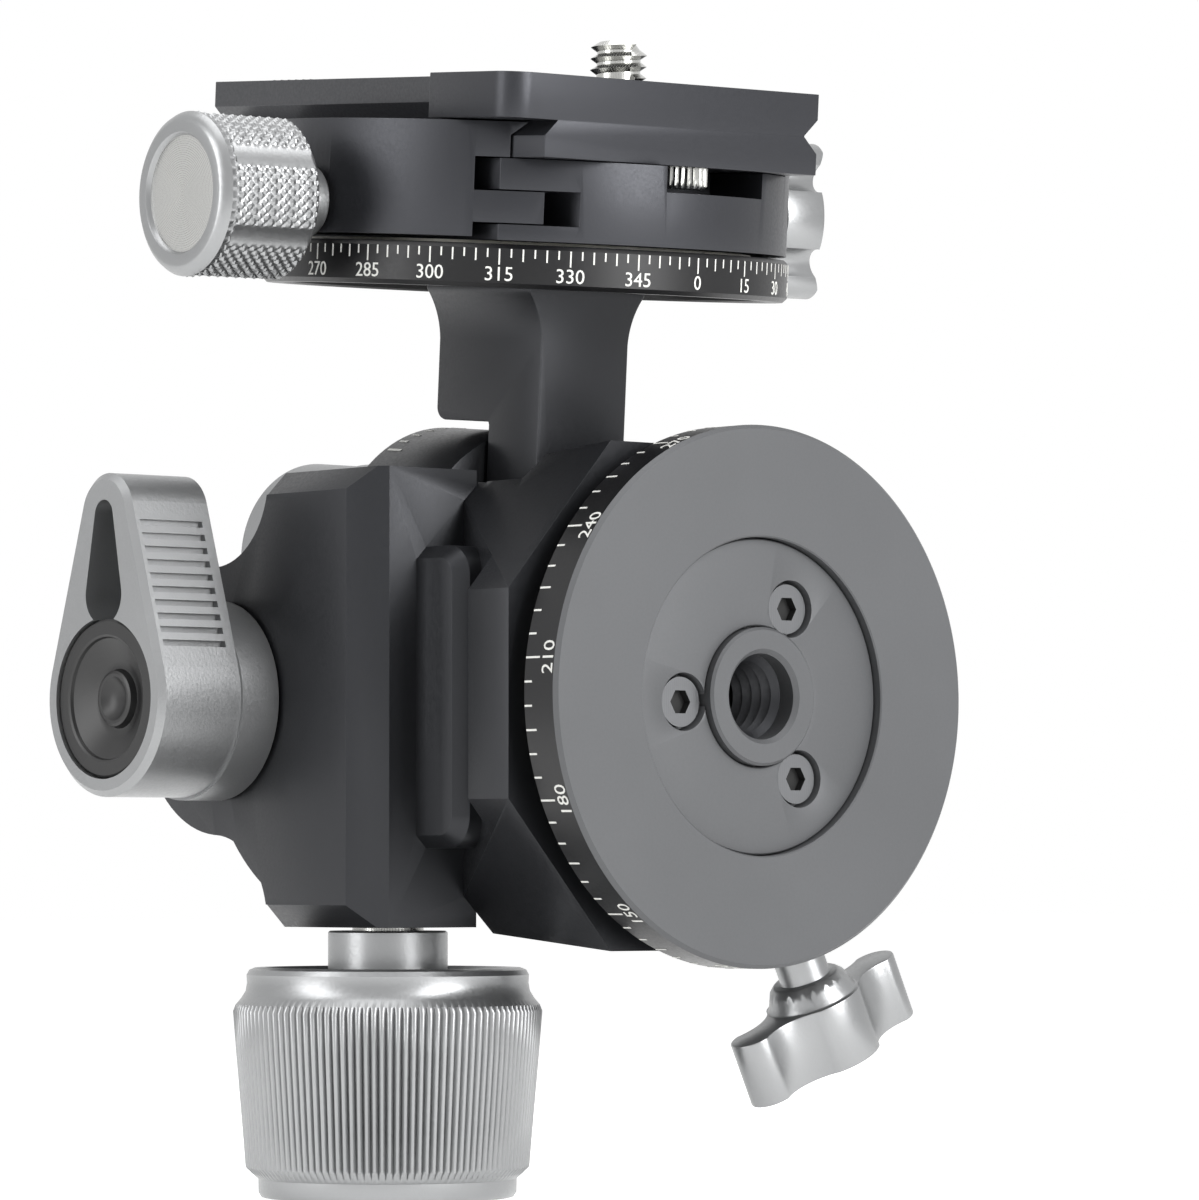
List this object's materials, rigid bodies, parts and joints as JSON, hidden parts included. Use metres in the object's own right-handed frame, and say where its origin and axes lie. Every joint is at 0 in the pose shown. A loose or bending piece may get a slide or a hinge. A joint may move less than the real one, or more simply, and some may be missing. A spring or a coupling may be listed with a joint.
{
  "type": "geared tripod head",
  "caption": "Geared tripod head with worm tilt, roll arm, panning dovetail clamp and camera plate.",
  "frame": {"origin": "centre of the base disc's outer face, at the mouth of the tripod thread", "axes": "+X out of the base disc, away from the head; +Z towards the camera plate in the stored pose; -Y towards the tilt lever"},
  "size_m": [0.0782, 0.0895, 0.1293],
  "materials": {
    "dark_anodised": "bead blasted dark grey anodised aluminium",
    "black_anodised": "fine black anodised aluminium",
    "silver_anodised": "bead blasted silver anodised aluminium",
    "stainless": "turned stainless steel",
    "black_plastic": "moulded black plastic",
    "bronze": "machined bronze",
    "slip_plastic": "white low friction plastic",
    "rubber": "moulded rubber"
  },
  "bodies": {
    "base": {"base_plate": "black_anodised", "base_retainer": "dark_anodised", "base_screws": "stainless", "thread_bush": "dark_anodised", "pan_spindle": "stainless", "pan_slip_ring": "slip_plastic"},
    "housing": {"main_body": "dark_anodised", "spindle_cap": "black_anodised", "worm_bush_upper": "bronze", "worm_bearing_lower": "bronze", "pan_lock_shoe": "bronze"},
    "fine_tilt_drive": {"worm": "stainless", "ribbed_knob": "silver_anodised", "ribbed_knob_cap": "black_anodised", "ribbed_knob_screw": "stainless"},
    "pan_lock": {"pan_lock_knob": "silver_anodised", "pan_lock_screw": "stainless"},
    "tilt_lock": {"tilt_lever": "silver_anodised", "tilt_lever_cap": "black_plastic", "tilt_lever_nut": "stainless"},
    "tilt_frame": {"tilt_rotor": "dark_anodised", "worm_wheel": "bronze", "tilt_shaft": "stainless", "tilt_spacer": "bronze"},
    "roll_arm": {"roll_shaft": "stainless", "roll_washer": "slip_plastic", "arm": "dark_anodised", "pan_ring": "black_anodised", "pan_hub": "stainless", "clamp_slip_ring": "slip_plastic"},
    "roll_lock": {"roll_lever": "silver_anodised", "roll_lever_cap": "black_plastic", "roll_lever_nut": "stainless"},
    "pan_clamp": {"clamp_body": "dark_anodised"},
    "jaw": {"clamp_jaw": "dark_anodised"},
    "jaw_knob": {"clamp_knob": "silver_anodised", "clamp_screw": "stainless"},
    "clamp_lock": {"clamp_lock_knob": "silver_anodised", "clamp_lock_screw": "stainless"},
    "plate": {"camera_plate": "dark_anodised", "plate_pad": "rubber", "plate_stop": "stainless"},
    "screw": {"camera_screw": "stainless"}
  },
  "joints": [
    {"name": "base_pan", "type": "hinge", "parent": "base", "child": "housing", "pos_m": [0, 0, 0], "axis": [1, 0, 0], "continuous": true},
    {"name": "pan_lock_turn", "type": "hinge", "parent": "housing", "child": "pan_lock", "pos_m": [-0.0094, 0.01268, -0.02719], "axis": [0, 0.4226, -0.9063], "range_deg": [-180, 180]},
    {"name": "tilt", "type": "hinge", "parent": "housing", "child": "tilt_frame", "pos_m": [-0.0535, 0, 0], "axis": [0, -1, 0], "range_deg": [0, 110]},
    {"name": "fine_tilt_knob", "type": "hinge", "parent": "housing", "child": "fine_tilt_drive", "pos_m": [-0.0359, -0.0244, 0], "axis": [0, 0, 1], "range_deg": [-4840, 0]},
    {"name": "tilt_lock_lever", "type": "hinge", "parent": "housing", "child": "tilt_lock", "pos_m": [-0.0535, -0.04, 0], "axis": [0, 1, 0], "range_deg": [-60, 60]},
    {"name": "roll", "type": "hinge", "parent": "tilt_frame", "child": "roll_arm", "pos_m": [-0.05118, -0.0045, 0.01616], "axis": [0.9962, 0, -0.0872], "range_deg": [-25, 25]},
    {"name": "roll_lock_lever", "type": "hinge", "parent": "tilt_frame", "child": "roll_lock", "pos_m": [-0.05118, -0.0045, 0.01616], "axis": [0.9962, 0, -0.0872], "range_deg": [-45, 45]},
    {"name": "clamp_pan", "type": "hinge", "parent": "roll_arm", "child": "pan_clamp", "pos_m": [-0.0351, -0.00518, 0.04857], "axis": [0.0871, -0.0201, 0.996], "continuous": true},
    {"name": "clamp_lock_turn", "type": "hinge", "parent": "pan_clamp", "child": "clamp_lock", "pos_m": [-0.03251, 0.0291, 0.05747], "axis": [0.0539, 0.9984, 0.0154], "range_deg": [-90, 90]},
    {"name": "jaw_slide", "type": "slide", "parent": "pan_clamp", "child": "jaw", "axis": [-0.0539, -0.9984, -0.0154], "range_m": [0, 0.0015]},
    {"name": "jaw_knob_turn", "type": "hinge", "parent": "jaw", "child": "jaw_knob", "pos_m": [-0.03638, -0.04077, 0.0552], "axis": [-0.0539, -0.9984, -0.0154], "range_deg": [0, 675]},
    {"name": "plate_slide", "type": "slide", "parent": "pan_clamp", "child": "plate", "axis": [0.9947, -0.0523, -0.0881], "range_m": [-0.004, 0.004]},
    {"name": "camera_screw_turn", "type": "hinge", "parent": "plate", "child": "screw", "pos_m": [-0.01709, -0.00649, 0.07102], "axis": [0.0871, -0.0201, 0.996], "continuous": true}
  ],
  "couplings": [
    {"joint": "fine_tilt_knob", "follows": "tilt", "ratio": -44},
    {"joint": "jaw_knob_turn", "follows": "jaw_slide", "rad_per_m": 7854}
  ]
}
